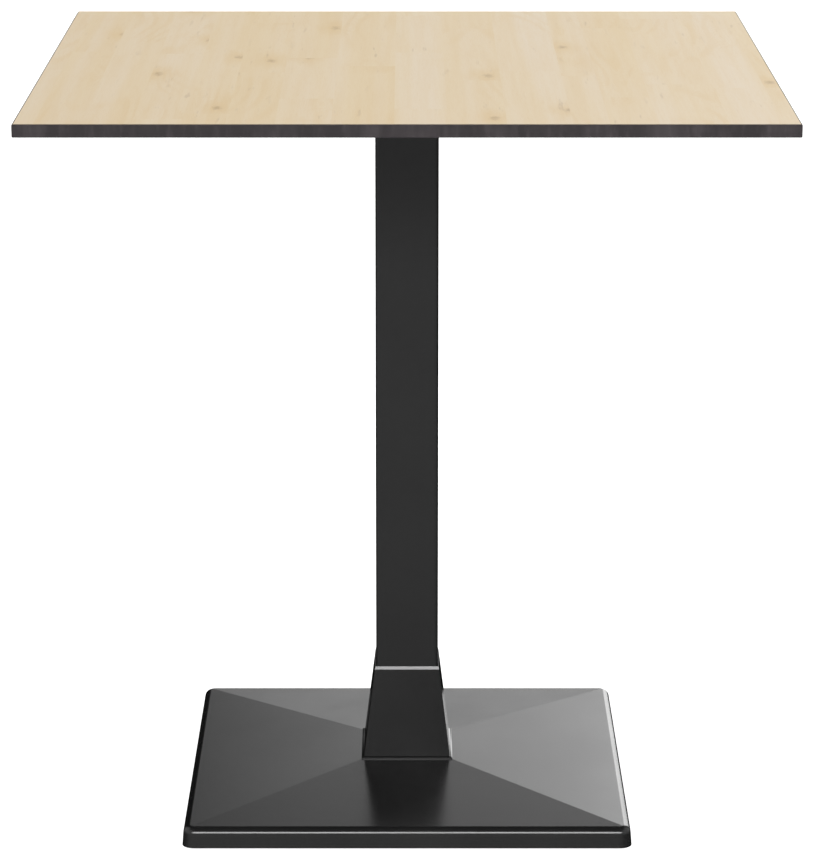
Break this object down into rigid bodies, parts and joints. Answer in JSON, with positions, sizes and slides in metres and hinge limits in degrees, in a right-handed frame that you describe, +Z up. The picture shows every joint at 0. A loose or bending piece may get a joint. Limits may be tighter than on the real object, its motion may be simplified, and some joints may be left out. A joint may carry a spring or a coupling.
{
  "type": "bistro table",
  "caption": "Square bistro table: a thin maple-decor compact top with a black edge on a square black column, a tapered neck and a low pyramid base on levelling glides.",
  "frame": {"origin": "on the floor under the middle of the table, glides screwed in", "axes": "+Z up, +X to the right and +Y to the back as seen from the front; the table is the same from all four sides"},
  "size_m": [0.7, 0.7, 0.732],
  "materials": {
    "maple_decor": "maple print under a matt melamine overlay",
    "backer_black": "plain black backing sheet",
    "satin_ring": "satin stainless trim",
    "laminate_core": "machined black phenolic core",
    "black_cast_iron": "black semi-gloss powder coat",
    "black_steel": "black semi-gloss powder coat",
    "zinc_steel": "bright zinc plate",
    "insert_brass": "turned brass",
    "glide_nylon": "moulded black nylon"
  },
  "bodies": {
    "table": {"table_top_core": "laminate_core", "maple_decor_sheet": "maple_decor", "underside_sheet": "backer_black", "threaded_inserts": "insert_brass", "top_screws": "zinc_steel", "screw_washers": "zinc_steel", "top_spider": "black_cast_iron", "column_tube": "black_steel", "neck_sleeve": "black_steel", "neck_trim_ring": "satin_ring", "base_casting": "black_cast_iron", "tie_rod": "zinc_steel", "tie_rod_washer": "zinc_steel", "tie_rod_spring_washer": "zinc_steel", "tie_rod_nut": "zinc_steel"},
    "pad_front_left": {"glide_pad_front_left": "glide_nylon"},
    "stem_front_left": {"glide_stem_front_left": "zinc_steel"},
    "pad_front_right": {"glide_pad_front_right": "glide_nylon"},
    "stem_front_right": {"glide_stem_front_right": "zinc_steel"},
    "pad_back_left": {"glide_pad_back_left": "glide_nylon"},
    "stem_back_left": {"glide_stem_back_left": "zinc_steel"},
    "pad_back_right": {"glide_pad_back_right": "glide_nylon"},
    "stem_back_right": {"glide_stem_back_right": "zinc_steel"}
  },
  "joints": [
    {"name": "glide_slide_front_left", "type": "slide", "parent": "table", "child": "pad_front_left", "axis": [0, 0, -1], "range_m": [0, 0.006]},
    {"name": "glide_screw_front_left", "type": "hinge", "parent": "pad_front_left", "child": "stem_front_left", "pos_m": [-0.181, -0.181, 0.0124], "axis": [0, 0, -1], "range_deg": [0, 1728]},
    {"name": "glide_slide_front_right", "type": "slide", "parent": "table", "child": "pad_front_right", "axis": [0, 0, -1], "range_m": [0, 0.006]},
    {"name": "glide_screw_front_right", "type": "hinge", "parent": "pad_front_right", "child": "stem_front_right", "pos_m": [0.181, -0.181, 0.0124], "axis": [0, 0, -1], "range_deg": [0, 1728]},
    {"name": "glide_slide_back_left", "type": "slide", "parent": "table", "child": "pad_back_left", "axis": [0, 0, -1], "range_m": [0, 0.006]},
    {"name": "glide_screw_back_left", "type": "hinge", "parent": "pad_back_left", "child": "stem_back_left", "pos_m": [-0.181, 0.181, 0.0124], "axis": [0, 0, -1], "range_deg": [0, 1728]},
    {"name": "glide_slide_back_right", "type": "slide", "parent": "table", "child": "pad_back_right", "axis": [0, 0, -1], "range_m": [0, 0.006]},
    {"name": "glide_screw_back_right", "type": "hinge", "parent": "pad_back_right", "child": "stem_back_right", "pos_m": [0.181, 0.181, 0.0124], "axis": [0, 0, -1], "range_deg": [0, 1728]}
  ],
  "couplings": [
    {"joint": "glide_slide_front_left", "follows": "glide_screw_front_left", "m_per_rad": 0.00019894},
    {"joint": "glide_slide_front_right", "follows": "glide_screw_front_right", "m_per_rad": 0.00019894},
    {"joint": "glide_slide_back_left", "follows": "glide_screw_back_left", "m_per_rad": 0.00019894},
    {"joint": "glide_slide_back_right", "follows": "glide_screw_back_right", "m_per_rad": 0.00019894}
  ]
}
